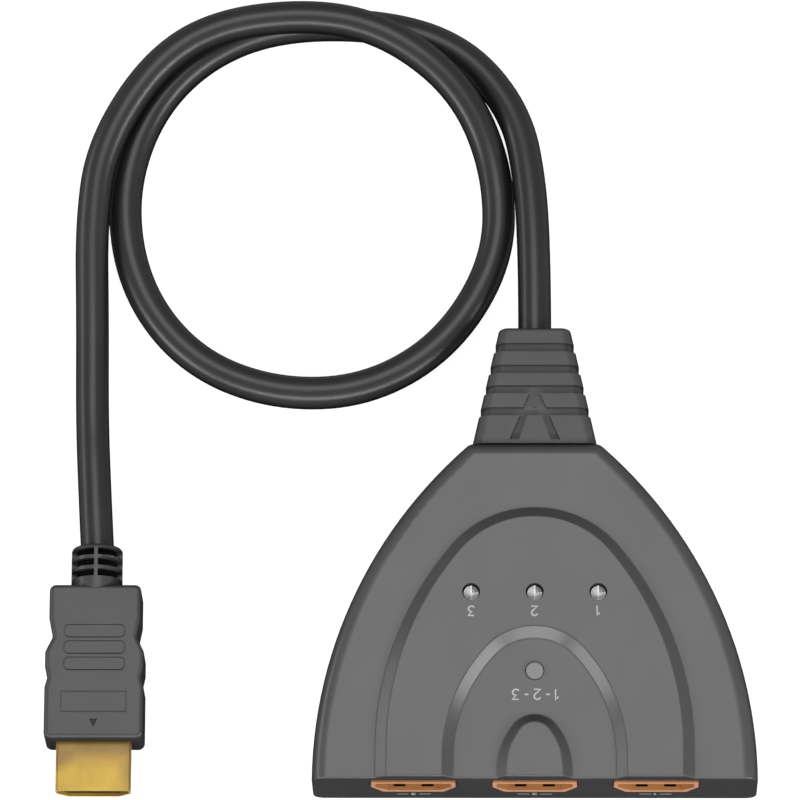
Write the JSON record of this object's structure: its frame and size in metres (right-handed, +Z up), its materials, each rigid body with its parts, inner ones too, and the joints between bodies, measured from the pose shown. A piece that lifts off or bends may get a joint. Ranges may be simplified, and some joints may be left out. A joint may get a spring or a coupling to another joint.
{
  "type": "hdmi switch box",
  "caption": "Fan-shaped video switch box with stepped arches on top, input sockets in front, status lights, a push button and a captive lead with plug.",
  "frame": {"origin": "on the resting plane, under the middle of the box and its boot", "axes": "+Z up; the input sockets face -Y and the lead leaves at +Y; +X to the right seen from the sockets"},
  "size_m": [0.1315, 0.1543, 0.0163],
  "materials": {
    "housing": "fine matt texture",
    "button": "fine matt",
    "boot": "matt, soft moulded",
    "cord_jacket": "satin black jacket",
    "port_metal": "satin copper-coloured plating",
    "gold_plate": "gold plated, satin",
    "contact_metal": "gold flash",
    "insulator": "moulded, glass filled",
    "board": "green solder mask",
    "chip_body": "moulded epoxy",
    "tin": "tinned metal",
    "ceramic": "ceramic",
    "lens": "clear cast resin",
    "switch_plastic": "moulded",
    "steel": "stamped, satin",
    "wire_skin": "foamed insulation"
  },
  "bodies": {
    "root": {"board_passives": "ceramic", "boot": "boot", "cable_clamp": "steel", "cable_end": "cord_jacket", "cable_wires": "wire_skin", "case_screws": "steel", "circuit_board": "board", "cord": "cord_jacket", "crystal": "tin", "light_1_leads": "tin", "light_1_lens": "lens", "light_2_leads": "tin", "light_2_lens": "lens", "light_3_leads": "tin", "light_3_lens": "lens", "lower_shell": "housing", "plug_contacts": "contact_metal", "plug_insulator": "insulator", "plug_overmould": "boot", "plug_shell": "gold_plate", "port_1_contacts": "contact_metal", "port_1_insulator": "insulator", "port_1_shell": "port_metal", "port_2_contacts": "contact_metal", "port_2_insulator": "insulator", "port_2_shell": "port_metal", "port_3_contacts": "contact_metal", "port_3_insulator": "insulator", "port_3_shell": "port_metal", "regulator": "chip_body", "switch_base": "switch_plastic", "switch_chip": "chip_body", "switch_cover": "steel", "switch_dome": "steel", "upper_shell": "housing"},
    "button": {"select_button": "button", "switch_plunger": "switch_plastic"}
  },
  "joints": [
    {"name": "button_press", "type": "slide", "parent": "root", "child": "button", "axis": [0, 0, -1], "range_m": [0, 0.00025], "stiffness_N_per_m": 4000, "springref_m": -0.0002, "deforming": ["switch_dome"]}
  ]
}
